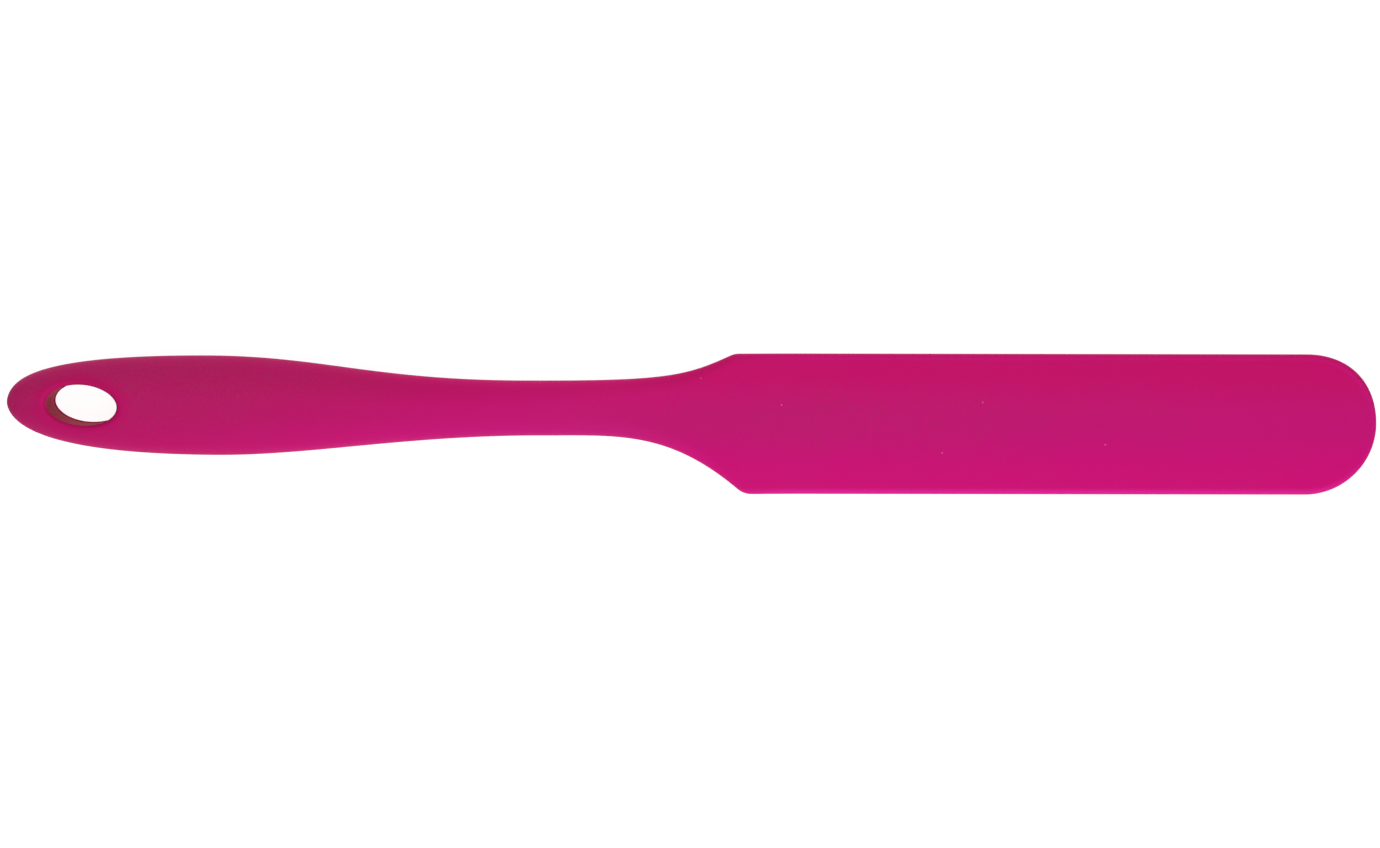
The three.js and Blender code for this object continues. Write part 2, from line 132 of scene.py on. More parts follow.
CAMERA_DISTANCE = 0.6
CAMERA_TILT = math.radians(5)  # from straight above, towards +Y
CAMERA_ROLL = math.radians(0.107)
CAMERA_LENS = 71.35
SENSOR_WIDTH = 36
CAMERA_TARGET = Vector((-1.0, 0.05, 3.0)) * MM


def make_camera():
    data = bpy.data.cameras.new("camera")
    data.lens = CAMERA_LENS
    data.sensor_width = SENSOR_WIDTH
    data.clip_start = 0.01
    data.clip_end = 20
    camera = bpy.data.objects.new("camera", data)
    bpy.context.scene.collection.objects.link(camera)
    back = Vector((0, math.sin(CAMERA_TILT), math.cos(CAMERA_TILT)))
    right = Vector((1, 0, 0))
    up = back.cross(right)
    turn = Matrix((right, up, back)).transposed().to_4x4()
    place = Matrix.Translation(CAMERA_TARGET + back * CAMERA_DISTANCE)
    camera.matrix_world = place @ turn @ Matrix.Rotation(CAMERA_ROLL, 4, "Z")
    bpy.context.scene.camera = camera


# ---- The form --------------------------------------------------------------------------------

CURVE_STEPS = 400


def chain_points(knots):
    """Points along a chain of cubic curves, as an array of [x, y] in millimetres."""
    t = np.linspace(0, 1, CURVE_STEPS + 1)[:, None]
    points = []
    for a, b in zip(knots, knots[1:]):
        start = np.array((a["x"], a["y"]), float)
        end = np.array((b["x"], b["y"]), float)
        if "rise" in a:
            leaving = start + (0, a["rise"])
        else:
            leaving = start + (a["ahead"], a["ahead"] * a["slope"])
        arriving = end - (b["back"], b["back"] * b["slope"])
        curve = (
            (1 - t) ** 3 * start
            + 3 * (1 - t) ** 2 * t * leaving
            + 3 * (1 - t) * t**2 * arriving
            + t**3 * end
        )
        points.append(curve if not points else curve[1:])
    return np.vstack(points)


def inset(points, distance, side):
    """An outline moved inwards. side is 1 for an upper line and -1 for a lower one."""
    along = np.gradient(points, axis=0)
    along[0] = (0, side)
    along /= np.linalg.norm(along, axis=1)[:, None]
    inwards = np.stack((along[:, 1] * side, -along[:, 0] * side), axis=1)
    return points + inwards * distance


class Form:
    """The spatula's outer form moved inwards: its plan by edge, and its side view by face."""

    def __init__(self, edge=0.0, face=0.0, drop=0.0):
        self.upper = inset(chain_points(UPPER_EDGE), edge, 1)
        self.lower = inset(chain_points(LOWER_EDGE), edge, -1)
        self.top = inset(chain_points(TOP_LINE), face, 1)
        self.under = inset(chain_points(UNDER_LINE), face, -1)
        self.drop = drop

    def section(self, x):
        """Middle in Y, half-width, middle in Z, half-height and flank width at x."""
        upper = np.interp(x, *self.upper.T)
        lower = np.interp(x, *self.lower.T)
        top = np.interp(x, *self.top.T)
        under = np.interp(x, *self.under.T)
        half_width = (upper - lower) / 2
        lowered = self.drop * (1 - smoothstep(x, CORE_DROP_START_X, CORE_DROP_END_X))
        middle_z = (top + under) / 2 - lowered
        flank = flank_width(half_width, x)
        return (upper + lower) / 2, half_width, middle_z, (top - under) / 2, flank


def smoothstep(x, low, high):
    t = np.clip((x - low) / (high - low), 0, 1)
    return t * t * (3 - 2 * t)


def flank_width(half_width, x):
    blend = smoothstep(x, FLANK_START_X, FLANK_END_X)
    thin = np.minimum(BLADE_EDGE_ROUND, half_width)
    return HANDLE_ROUNDNESS * half_width * (1 - blend) + thin * blend


OUTER = Form()


def flank_place(x, y):
    """How far down the section's rounded flank a point of the plan is, 0 to 1, and the
    section's half-height."""
    middle_y, half_width, _, half_height, flank = OUTER.section(x)
    beyond = np.maximum(np.abs(y - middle_y) - (half_width - flank), 0)
    into = np.divide(beyond, flank, out=np.ones_like(beyond), where=flank > 0)
    return np.minimum(into, 1), half_height


def face_rise(x, y):
    """How far the outer face is above the middle of the section, over a point of the plan."""
    into, half_height = flank_place(x, y)
    return half_height * np.sqrt(1 - into**2)


SLOPE_STEP = 0.02  # a slope is taken between points this far to both sides
LEAST_SLOPE = 1e-9  # stands in for no slope, where it divides


def outward(plan):
    """The direction in plan in which the outer face falls away, at points inside its edge."""
    slope = np.stack([
        face_rise(plan[:, 0] - dx, plan[:, 1] - dy) ** 2
        - face_rise(plan[:, 0] + dx, plan[:, 1] + dy) ** 2
        for dx, dy in ((SLOPE_STEP, 0), (0, SLOPE_STEP))
    ], axis=1)
    return slope / np.maximum(np.linalg.norm(slope, axis=1), LEAST_SLOPE)[:, None]


# ---- Building meshes -------------------------------------------------------------------------

WELD = 2e-7  # points closer than this, in metres, are one


class Surface:
    """Collects patches of quads. Patches that share an edge share its points when it is made."""

    def __init__(self):
        self.points = []
        self.faces = []

    def patch(self, grid):
        """grid is an array of rows of points; each cell of it becomes a face."""
        rows, columns = grid.shape[:2]
        start = sum(len(p) for p in self.points)
        self.points.append(grid.reshape(-1, 3))
        index = start + np.arange(rows * columns).reshape(rows, columns)
        corners = (index[:-1, :-1], index[1:, :-1], index[1:, 1:], index[:-1, 1:])
        self.faces.append(np.stack(corners, axis=-1).reshape(-1, 4))

    def fan(self, ring, middle):
        """A triangle from each step of a ring to a middle point, which it names twice."""
        start = sum(len(p) for p in self.points)
        self.points.append(np.vstack((ring, middle)))
        count = len(ring)
        here = start + np.arange(count - 1)
        hub = np.full(count - 1, start + count)
        self.faces.append(np.stack((here, here + 1, hub, hub), axis=-1))

    def object(self, name):
        mesh = bpy.data.meshes.new(name)
        points = np.vstack(self.points) * MM
        faces = [list(dict.fromkeys(face)) for face in np.vstack(self.faces).tolist()]
        mesh.from_pydata(points.tolist(), [], faces)
        shape = bmesh.new()
        shape.from_mesh(mesh)
        bmesh.ops.remove_doubles(shape, verts=shape.verts, dist=WELD)
        bmesh.ops.dissolve_degenerate(shape, edges=shape.edges, dist=WELD)
        bmesh.ops.recalc_face_normals(shape, faces=shape.faces)
        shape.to_mesh(mesh)
        shape.free()
        made = bpy.data.objects.new(name, mesh)
        bpy.context.scene.collection.objects.link(made)
        return made


# ---- The outside of the skin -----------------------------------------------------------------

FLAT_STEPS = 8  # rows of faces over half of a section's flat
FLANK_STEPS = 14  # rows down its rounded flank
PARTING_BAND = (0.34, 0.24, 0.17, 0.12, 0.08, 0.04, 0)  # heights of the rows at the parting line


def parting_inset(rise, share):
    """How far the surface stands back from the crest of the parting line."""
    return PARTING_HEIGHT * (1 - np.exp(-((rise / PARTING_WIDTH) ** 2))) * share


def half_profile(half_width, half_height, flank):
    """Half of the upper side of a section: how far out and how high, from middle to edge."""
    band = np.array(PARTING_BAND)
    last_turn = math.acos(min(band[0] / half_height, 1))
    flat = np.linspace(0, half_width - flank, FLAT_STEPS + 1)[:-1]
    turn = np.linspace(0, last_turn, FLANK_STEPS + 1)
    out = np.concatenate((
        flat,
        half_width - flank + flank * np.sin(turn),
        half_width - flank + flank * np.sqrt(1 - (band[1:] / half_height) ** 2),
    ))
    up = np.concatenate((np.full(len(flat), half_height), half_height * np.cos(turn), band[1:]))
    share = np.clip((out - (half_width - flank)) / flank, 0, 1) ** 2
    return out - parting_inset(up, share), up


def whole_section(x):
    """A section across X, as points from the upper edge over the top to the lower edge."""
    middle_y, half_width, middle_z, half_height, flank = OUTER.section(x)
    out, up = half_profile(half_width, half_height, flank)
    across = np.concatenate((out[::-1], -out[1:]))
    rise = np.concatenate((up[::-1], up[1:]))
    return across + middle_y, middle_z, rise


def section_points(x, side):
    y, middle_z, rise = whole_section(x)
    return np.stack((np.full(len(y), x), y, middle_z + side * rise), axis=1)


SPLIT_X = -116.0  # the butt's grid round the hanging hole ends here
CORNER_TURN = math.radians(42)  # of the spokes to the grid's two corners, from +X
TURN_BY_PLACE = 0.6  # how far the spokes between the corners follow the places of their points
EDGE_SPOKES = 60  # from a corner of the butt's grid round to the butt's end
BAND_REACH = 1.5  # the band of the parting line lies within this much of the outline
HALVINGS = 40  # steps in which the place of a given rise is found
BUTT_RINGS = 30  # from the hole's rim out to the band
RIM_RINGS = 8  # over the rim's round
WALL_RINGS = 10  # down the hole's wall


def hole_oval(turns, grow):
    long = (HOLE_LONG_RADIUS + grow) * np.cos(turns)
    cross = (HOLE_CROSS_RADIUS + grow) * np.sin(turns)
    x = HOLE_X + long * math.cos(HOLE_TURN) - cross * math.sin(HOLE_TURN)
    y = HOLE_Y + long * math.sin(HOLE_TURN) + cross * math.cos(HOLE_TURN)
    return np.stack((x, y), axis=1)


def even_points(points, count):
    """Points evenly spaced by length along a line of points, both its ends among them."""
    steps = np.linalg.norm(np.diff(points, axis=0), axis=1)
    length = np.concatenate(([0], np.cumsum(steps)))
    at = np.linspace(0, length[-1], count)
    return np.stack([np.interp(at, length, points[:, i]) for i in (0, 1)], axis=1)


def butt_outline():
    """Points evenly along the butt's outline, from its +Y corner round to its -Y corner."""
    upper = OUTER.upper[OUTER.upper[:, 0] < SPLIT_X]
    lower = OUTER.lower[OUTER.lower[:, 0] < SPLIT_X]
    corner_high = (SPLIT_X, np.interp(SPLIT_X, *OUTER.upper.T))
    corner_low = (SPLIT_X, np.interp(SPLIT_X, *OUTER.lower.T))
    above = even_points(np.vstack((corner_high, upper[::-1])), EDGE_SPOKES + 1)
    below = even_points(np.vstack((lower, corner_low)), EDGE_SPOKES + 1)
    return np.vstack((above, below[1:]))


def edge_share(start, end, rise):
    """How far from start to end the outer face comes down to a given rise."""
    low, high = np.zeros(len(start)), np.ones(len(start))
    for _ in range(HALVINGS):
        middle = (low + high) / 2
        at = start + (end - start) * middle[:, None]
        above = face_rise(at[:, 0], at[:, 1]) > rise
        low, high = np.where(above, middle, low), np.where(above, high, middle)
    return (low + high) / 2


def butt_band(outline, line_y):
    """The rows of the parting line's band round the butt, in plan: the uppermost as the outer
    form has it, then all as they stand back from the crest. At the corners they meet the band
    of the section where the handle goes on."""
    along = np.gradient(outline, axis=0)
    along /= np.linalg.norm(along, axis=1)[:, None]
    inwards = np.stack((-along[:, 1], along[:, 0]), axis=1)
    deep = outline + inwards * BAND_REACH
    plain = []
    for rise in PARTING_BAND[:-1]:
        plain.append(deep + (outline - deep) * edge_share(deep, outline, rise)[:, None])
    plain.append(outline)
    rows = []
    for plan, rise in zip(plain, PARTING_BAND):
        into, _ = flank_place(*plan.T)
        rows.append(plan + inwards * parting_inset(rise, into**2)[:, None])
    count = len(PARTING_BAND)
    for row, high, low in zip(rows, line_y[:count][::-1], line_y[-count:]):
        row[0] = (SPLIT_X, high)
        row[-1] = (SPLIT_X, low)
    return plain[0], rows


def butt_rings(turns, edge, crest, rim_round):
    """One side of the butt as rings, from the hanging hole's rim out to the band and the line
    where the handle goes on: the plan of each ring, and its rise over the section's middle."""
    start = hole_oval(turns, rim_round)
    plans, rises = [], []
    for share in np.sin(np.linspace(0, math.pi / 2, BUTT_RINGS + 1))[:-1]:
        plan = start + (edge - start) * share
        into, _ = flank_place(*plan.T)
        rise = face_rise(*plan.T)
        plans.append(plan - outward(plan) * parting_inset(rise, into**2 * share)[:, None])
        rises.append(rise)
    plans.append(crest[:, :2])
    rises.append(crest[:, 2])
    return plans, rises


def on_face(plan, rise, side):
    middle_z = OUTER.section(plan[:, 0])[2]
    return np.column_stack((plan, middle_z + side * rise))


def closed_ring(points):
    return np.vstack((points, points[:1]))


def spoke_turns(band_row, between_y):
    """The turns of the grid's spokes about the hanging hole: evenly along the butt's outline, then
    to the points between the corners, by their places and by their count."""
    high, low = band_row[0][1], band_row[-1][1]
    middle = (high + low) / 2
    by_place = (between_y - middle) / (high - middle)
    by_count = np.linspace(-1, 1, len(between_y) + 2)[1:-1]
    shares = TURN_BY_PLACE * by_place + (1 - TURN_BY_PLACE) * by_count
    return np.concatenate((
        np.linspace(CORNER_TURN, 2 * math.pi - CORNER_TURN, len(band_row)),
        2 * math.pi + CORNER_TURN * shares,
    ))


def rim_rings(turns, side, rim_round):
    """The rounded rim of the hanging hole on one side, from the face down to the wall."""
    rings = []
    for turn in np.linspace(0, math.pi / 2, RIM_RINGS + 1):
        plan = hole_oval(turns, rim_round * (1 - math.sin(turn)))
        rise = face_rise(*plan.T) - rim_round * (1 - math.cos(turn))
        rings.append(closed_ring(on_face(plan, rise, side)))
    return rings


def add_butt(surface):
    """The butt: on each side the parting line's band, the face and the hole's rim, then the
    hole's wall between the two rims."""
    line_y, _, line_rise = whole_section(SPLIT_X)
    outline = butt_outline()
    plain, rows = butt_band(outline, line_y)
    ends = len(PARTING_BAND)
    between_y, between_rise = line_y[ends:-ends][::-1], line_rise[ends:-ends][::-1]
    between = np.stack((np.full(len(between_y), SPLIT_X), between_y), axis=1)
    edge = np.vstack((plain, between))
    crest = np.vstack((
        np.column_stack((rows[0], np.full(len(outline), PARTING_BAND[0]))),
        np.column_stack((between, between_rise)),
    ))
    turns = spoke_turns(rows[0], between_y)
    lips = []
    for side, rim_round in ((1, HOLE_TOP_ROUND), (-1, HOLE_UNDER_ROUND)):
        band = [on_face(row, rise, side) for row, rise in zip(rows, PARTING_BAND)]
        surface.patch(np.stack(band))
        plans, rises = butt_rings(turns, edge, crest, rim_round)
        rings = [closed_ring(on_face(plan, rise, side)) for plan, rise in zip(plans, rises)]
        surface.patch(np.stack(rings))
        rim = rim_rings(turns, side, rim_round)
        surface.patch(np.stack(rim))
        lips.append(rim[-1])
    upper_lip, lower_lip = lips
    shares = np.linspace(0, 1, WALL_RINGS + 1)[:, None, None]
    surface.patch(upper_lip * (1 - shares) + lower_lip * shares)


TIP_SPOKES = 72


def add_tip(surface, profile, middle_z):
    """The round end of the blade: half sections turned about the tip's centre, and standing
    further out at its fuller +Y corner."""
    out, up = profile
    for side in (1, -1):
        rows = []
        for turn in np.linspace(math.pi / 2, -math.pi / 2, TIP_SPOKES + 1):
            reach = 1 + (TIP_FULLNESS * math.sin(2 * turn) ** 2 if turn > 0 else 0)
            x = TIP_CENTRE_X + out * reach * math.cos(turn)
            rows.append(np.stack((x, out * reach * math.sin(turn), middle_z + side * up), axis=1))
        surface.patch(np.stack(rows))


# Where each stretch of sections along X ends, and its steps: close where the shape turns fast.
STRETCHES = ((-36, 80), (4, 50), (15, 44), (30, 18), (TIP_CENTRE_X, 90))


def stations():
    """Places of the sections along the handle and the blade."""
    places = [SPLIT_X]
    for end, steps in STRETCHES:
        places.extend(np.linspace(places[-1], end, steps + 1)[1:])
    return places


def skin_outside():
    surface = Surface()
    add_butt(surface)
    for side in (1, -1):
        surface.patch(np.stack([section_points(x, side) for x in stations()]))
    _, _, middle_z, half_height, _ = OUTER.section(TIP_CENTRE_X)
    profile = half_profile(BLADE_HALF_WIDTH, half_height, BLADE_EDGE_ROUND)
    add_tip(surface, profile, middle_z)
    return surface.object("silicone_grip_and_blade")


# ---- The space inside the skin ---------------------------------------------------------------

SPACE_SECTIONS = 90  # along the core's space, and along the strip's space to the blade's root
BLADE_SECTIONS = 22  # along the strip's space in the blade, and TIP_SECTIONS round its end
TIP_SECTIONS = 20
CORE_SIDES = 48
CORE_START = 0.02  # the share of its sweep at which the core's space starts, short of a point
STRIP_END = 0.02  # half the width at which the strip's space ends, short of a point
BRIDGE_SIDES = 32
BRIDGE_ENDS = (-1.0, 2 * BLADE_ROOT_THICKNESS)  # heights clear of the strip's space


def closed_loft(name, sections):
    """A closed body over sections of equal count, each a loop of points, with flat ends."""
    surface = Surface()
    surface.patch(np.stack([closed_ring(s) for s in sections]))
    for end in (sections[0], sections[-1]):
        surface.fan(closed_ring(end), end.mean(axis=0))
    return surface.object(name)


def core_space():
    form = Form(HANDLE_WALL, HANDLE_WALL, CORE_DROP)
    start, end = BUTT_X + HANDLE_WALL, CORE_FRONT_X + FIT_GAP
    sweep = 1 - np.cos(np.linspace(CORE_START, 1, SPACE_SECTIONS) * math.pi / 2)
    turns = np.linspace(0, 2 * math.pi, CORE_SIDES + 1)[:-1]
    quarter = CORE_SIDES // 4
    sides = np.sign(np.cos(turns))
    sides[[quarter, 3 * quarter]] = 0
    loops = []
    for x in start + (end - start) * sweep:
        middle_y, half_width, middle_z, half_height, flank = form.section(x)
        y = middle_y + (half_width - flank) * sides + flank * np.cos(turns)
        z = middle_z + half_height * np.sin(turns)
        loops.append(np.stack((np.full(len(y), x), y, z), axis=1))
    return closed_loft("core_space", loops)


def strip_loop(x, upper, lower, middle_z):
    """The strip's space at x, as a loop of its four corners."""
    half = STRIP_THICKNESS / 2 + FIT_GAP
    high, low = middle_z + half, middle_z - half
    return np.array([(x, upper, high), (x, lower, high), (x, lower, low), (x, upper, low)])


def strip_space():
    form = Form(BLADE_EDGE_WALL)
    tang = TANG_HALF_WIDTH + FIT_GAP
    radius = BLADE_HALF_WIDTH - BLADE_EDGE_WALL
    along = np.concatenate((
        np.linspace(TANG_END_X - FIT_GAP, BLADE_ROOT_X, SPACE_SECTIONS),
        np.linspace(BLADE_ROOT_X, TIP_CENTRE_X, BLADE_SECTIONS)[1:],
    ))
    loops = []
    for x in along:
        middle_y, _, middle_z, _, _ = OUTER.section(x)
        upper, lower = np.interp(x, *form.upper.T), np.interp(x, *form.lower.T)
        if x < TANG_FRONT_X:
            upper, lower = min(upper, middle_y + tang), max(lower, middle_y - tang)
        loops.append(strip_loop(x, upper, lower, middle_z))
    _, _, tip_z, _, _ = OUTER.section(TIP_CENTRE_X)
    for turn in np.linspace(0, math.pi / 2, TIP_SECTIONS)[1:]:
        y = max(radius * math.cos(turn), STRIP_END)
        loops.append(strip_loop(TIP_CENTRE_X + radius * math.sin(turn), y, -y, tip_z))
    return closed_loft("strip_space", loops)


def bridge(x):
    """A silicone bridge through an anchor hole of the strip, as a round post."""
    turns = np.linspace(0, 2 * math.pi, BRIDGE_SIDES + 1)[:-1]
    radius = ANCHOR_RADIUS - FIT_GAP
    plan = np.stack((x + radius * np.cos(turns), radius * np.sin(turns)), axis=1)
    loops = [np.column_stack((plan, np.full(BRIDGE_SIDES, z))) for z in BRIDGE_ENDS]
    return closed_loft(f"bridge_{x}", loops)


def cut(piece, *cutters):
    """Cuts closed bodies out of a piece, and removes them."""
    for cutter in cutters:
        modifier = piece.modifiers.new("cut", "BOOLEAN")
        modifier.operation = "DIFFERENCE"
        modifier.solver = "EXACT"
        modifier.object = cutter
        made = piece.evaluated_get(bpy.context.evaluated_depsgraph_get())
        mesh = bpy.data.meshes.new_from_object(made)
        piece.modifiers.clear()
        piece.data = mesh
        bpy.data.objects.remove(cutter)
    return piece


SHARP_ANGLE = math.radians(35)


def smooth(piece):
    piece.data.shade_smooth()
    piece.data.set_sharp_from_angle(angle=SHARP_ANGLE)


def silicone_skin():
    skin = skin_outside()
    strip = cut(strip_space(), *[bridge(x) for x in ANCHOR_X])
    cut(skin, core_space(), strip)
    smooth(skin)
    return skin


# ---- Materials -------------------------------------------------------------------------------

NOISE_SPAN = (0.3, 0.7)  # noise lies mostly between these
SPECK_CORE = 0.4  # the share of a speck's radius that it covers fully
SPECK_CHOICE = 0.9  # the share of the chosen cells whose specks cover fully


class Nodes:
    """A material's node tree, with one short call per node."""

    def __init__(self, name):
        self.material = bpy.data.materials.new(name)
        self.material.use_nodes = True
        self.tree = self.material.node_tree
        self.tree.nodes.clear()
        self.shader = self.add("ShaderNodeBsdfPrincipled")
        output = self.add("ShaderNodeOutputMaterial")
        self.link(self.shader.outputs["BSDF"], output.inputs["Surface"])
        self.place = self.add("ShaderNodeTexCoord").outputs["Object"]

    def add(self, kind, **settings):
        node = self.tree.nodes.new(kind)
        for key, value in settings.items():
            setattr(node, key, value)
        return node

    def link(self, source, target):
        self.tree.links.new(source, target)

    def feed(self, socket, source):
        """Links a value or colour to one of the shader's own sockets."""
        self.link(source, self.shader.inputs[socket])

    def set(self, **sockets):
        for key, value in sockets.items():
            self.shader.inputs[key.replace("_", " ")].default_value = value

    def stretched(self, scale):
        """The point's place with each axis scaled: a small scale draws a noise out along it."""
        mapping = self.add("ShaderNodeMapping")
        mapping.inputs["Scale"].default_value = scale
        self.link(self.place, mapping.inputs["Vector"])
        return mapping.outputs["Vector"]

    def noise(self, size, detail=2.0, roughness=0.5, vector=None):
        """Noise whose features are about `size` metres across."""
        node = self.add("ShaderNodeTexNoise")
        node.inputs["Scale"].default_value = 1 / size
        node.inputs["Detail"].default_value = detail
        node.inputs["Roughness"].default_value = roughness
        self.link(vector or self.place, node.inputs["Vector"])
        return node.outputs["Fac"]

    def specks(self, spacing, radius, share):
        """Round specks of a radius, on a share of cells that are `spacing` metres apart."""
        cell = self.add("ShaderNodeTexVoronoi", voronoi_dimensions="2D")
        cell.inputs["Scale"].default_value = 1 / spacing
        self.link(self.place, cell.inputs["Vector"])
        near = self.ramp(cell.outputs["Distance"], radius / spacing, SPECK_CORE * radius / spacing)
        pick = self.add("ShaderNodeSeparateColor")
        self.link(cell.outputs["Color"], pick.inputs["Color"])
        chosen = self.ramp(pick.outputs["Red"], share, share * SPECK_CHOICE)
        return self.product(near, chosen)

    def along(self, axis):
        """A coordinate of the point, in metres in the object's frame."""
        split = self.add("ShaderNodeSeparateXYZ")
        self.link(self.place, split.inputs["Vector"])
        return split.outputs[axis]

    def squared(self, value, middle, reach):
        """How far a coordinate is from a middle, as a share of a reach in millimetres, squared."""
        off = self.math("SUBTRACT", value, middle * MM)
        return self.math("POWER", self.math("DIVIDE", off, reach * MM), 2)

    def shades(self, value, stops):
        """A colour that changes with a value, from the highest stop to the lowest."""
        high, low = stops[0][0], stops[-1][0]
        node = self.add("ShaderNodeValToRGB")
        node.color_ramp.interpolation = "EASE"
        points = node.color_ramp.elements
        while len(points) < len(stops):
            points.new(0.5)  # its place is set below
        for point, (place, colour) in zip(points, stops):
            point.position = (high - place) / (high - low)
            point.color = (*colour, 1)
        self.link(self.ramp(value, high, low), node.inputs["Fac"])
        return node.outputs["Color"]

    def ramp(self, value, low, high, to_low=0.0, to_high=1.0):
        """Takes a value from low..high to to_low..to_high, and no further."""
        node = self.add("ShaderNodeMapRange", clamp=True)
        node.inputs["From Min"].default_value = low
        node.inputs["From Max"].default_value = high
        node.inputs["To Min"].default_value = to_low
        node.inputs["To Max"].default_value = to_high
        self.link(value, node.inputs["Value"])
        return node.outputs["Result"]

    def ramp_mm(self, value, low, high, to_low=0.0, to_high=1.0):
        """A ramp between two lengths that are given in millimetres."""
        return self.ramp(value, low * MM, high * MM, to_low, to_high)

    def product(self, first, *others):
        for other in others:
            first = self.math("MULTIPLY", first, other)
        return first

    def math(self, operation, *values):
        node = self.add("ShaderNodeMath", operation=operation)
        for socket, value in zip(node.inputs, values):
            if isinstance(value, (int, float)):
                socket.default_value = value
            else:
                self.link(value, socket)
        return node.outputs["Value"]

    def mix(self, share, first, second):
        node = self.add("ShaderNodeMix", data_type="RGBA")
        self.link(share, node.inputs["Factor"])
        colours = [i for i in node.inputs if i.type == "RGBA"]
        for socket, value in zip(colours, (first, second)):
            if isinstance(value, tuple):
                socket.default_value = (*value, 1)
            else:
                self.link(value, socket)
        return [o for o in node.outputs if o.type == "RGBA"][0]

    def bump(self, height, depth, onto=None):
        node = self.add("ShaderNodeBump")
        node.inputs["Distance"].default_value = depth
        self.link(height, node.inputs["Height"])
        if onto is not None:
            self.link(onto, node.inputs["Normal"])
        return node.outputs["Normal"]


# Painted shade across the spatula: the silicone's colour from its +Y side, painted darker and warmer
# where less light falls, to its -Y side, painted lighter.
SILICONE_PAINTED_SHADE = (
    (12 * MM, (0.62, 0.0058, 0.156)),
    (0 * MM, (0.625, 0.0056, 0.201)),
    (-14 * MM, (0.68, 0.0054, 0.200)),
)
SILICONE_NECK_PAINTED_SHADE = (  # the same over the neck, a little duller, painted lighter on its +Y side and darker on its -Y side to even out its shading
    (9 * MM, (0.648, 0.0078, 0.176)),
    (5 * MM, (0.605, 0.0080, 0.184)),
    (-1 * MM, (0.586, 0.0078, 0.194)),
)
SILICONE_BUTT_PAINTED_SHADE = (0.54, 0.0075, 0.118)  # painted shade: the darker colour it goes to towards the butt
# painted highlight along the blade's rounded edge
SILICONE_EDGE_HIGHLIGHT = (0.75, 0.013, 0.275)
# a dusty bloom that is partly painted sheen
SILICONE_BLOOM_AND_SHEEN = (0.50, 0.0185, 0.140)
SILICONE_DUST = (0.80, 0.16, 0.38)
NYLON = (0.42, 0.03, 0.068)
NYLON_FLECK = (0.54, 0.042, 0.09)
STAINLESS = (0.58, 0.60, 0.62)
RIVET_STEEL = (0.50, 0.51, 0.53)
FLOOR_ALBEDO = (0.2, 0.2, 0.2, 1)
FLOOR_GLOW = 0.92

# The silicone's grain, clouding, roughness and dust, with lengths in millimetres.
GRAIN_SIZE = 0.45
GRAIN_DEPTH = 0.03
WAVES_SIZE = 5
WAVES_DEPTH = 0.03
CLOUD_SIZE = 18
CLOUD_MOST = 0.12
MATTE_SIZE = 6
MATTE_ROUGHNESS = (0.56, 0.64)
SPECKLE_SPAN = (0.35, 0.65)  # the grain that breaks up the bloom with its painted sheen, and the clouding
SPECKLE_MOST = 2
DUST_SPACING = 9
DUST_RADIUS = 0.2
DUST_SHARE = 0.16
DUST_X = (-20, 0)

# Pairs named _X or _Y are where along that axis, in millimetres, a look sets in: from nothing, or
# the first of its shares, to its most.
# Painted shade towards the butt:
BUTT_PAINTED_SHADE_X = (-40, -130)
BUTT_PAINTED_SHADE_MOST = 0.7
# Painted shade over the neck:
NECK_FROM_GRIP_X = (-70, -35)
NECK_FROM_BLADE_X = (-2, -18)

BLOOM_AND_SHEEN_MIDDLE_Y = 1.5  # the blade's bloom and painted sheen lie about this line
BLOOM_AND_SHEEN_OFF_MIDDLE = (9, 2)  # distances from it
BLOOM_AND_SHEEN_BLADE_X = (-40, 0)
BLOOM_AND_SHEEN_TIP_X = (150, 10)
BLOOM_AND_SHEEN_TIP_SHARES = (0.1, 0.38)
BLOOM_AND_SHEEN_GRIP_X = (-50, -125)
BLOOM_AND_SHEEN_GRIP_Y = (-4, 9)
BLOOM_AND_SHEEN_GRIP_SHARES = (0.15, 1)
RIM_REACH = 1.5  # the bloom and painted sheen start about this far round the hanging hole
RIM_FADE = (0.9, 1.7)  # over these shares of that oval, squared

# The painted highlight along the blade's rounded edge, and how much smoother it is there:
HIGHLIGHT_DEPTHS = (1.6, 0.9)  # distances in from the blade's outline
HIGHLIGHT_CREST_DEPTHS = (0.1, 0.5)
HIGHLIGHT_CREST_SHARES = (0.2, 1)
HIGHLIGHT_Y = (-8, -14)
HIGHLIGHT_Y_SHARES = (0.25, 1)
HIGHLIGHT_X = (8, 20)
EDGE_SMOOTHER = 0.2  # how much less rough it is


def bloom_and_sheen_share(n, x, y):
    """Where a faint dusty bloom with painted sheen dulls the silicone: along the middle of the
    blade, most by the neck, and over the +Y side of the grip, but not on the rim of the hanging
    hole."""
    off_middle = n.math("ABSOLUTE", n.math("SUBTRACT", y, BLOOM_AND_SHEEN_MIDDLE_Y * MM))
    near_middle = n.ramp_mm(off_middle, *BLOOM_AND_SHEEN_OFF_MIDDLE)
    from_tip = n.ramp_mm(x, *BLOOM_AND_SHEEN_TIP_X, *BLOOM_AND_SHEEN_TIP_SHARES)
    blade = n.product(near_middle, from_tip, n.ramp_mm(x, *BLOOM_AND_SHEEN_BLADE_X))
    along = n.squared(x, HOLE_X, HOLE_LONG_RADIUS + RIM_REACH)
    across = n.squared(y, HOLE_Y, HOLE_CROSS_RADIUS + RIM_REACH)
    off_rim = n.ramp(n.math("ADD", along, across), *RIM_FADE)
    upper_side = n.ramp_mm(y, *BLOOM_AND_SHEEN_GRIP_Y, *BLOOM_AND_SHEEN_GRIP_SHARES)
    grip = n.product(n.ramp_mm(x, *BLOOM_AND_SHEEN_GRIP_X), upper_side, off_rim)
    return n.math("ADD", blade, grip)


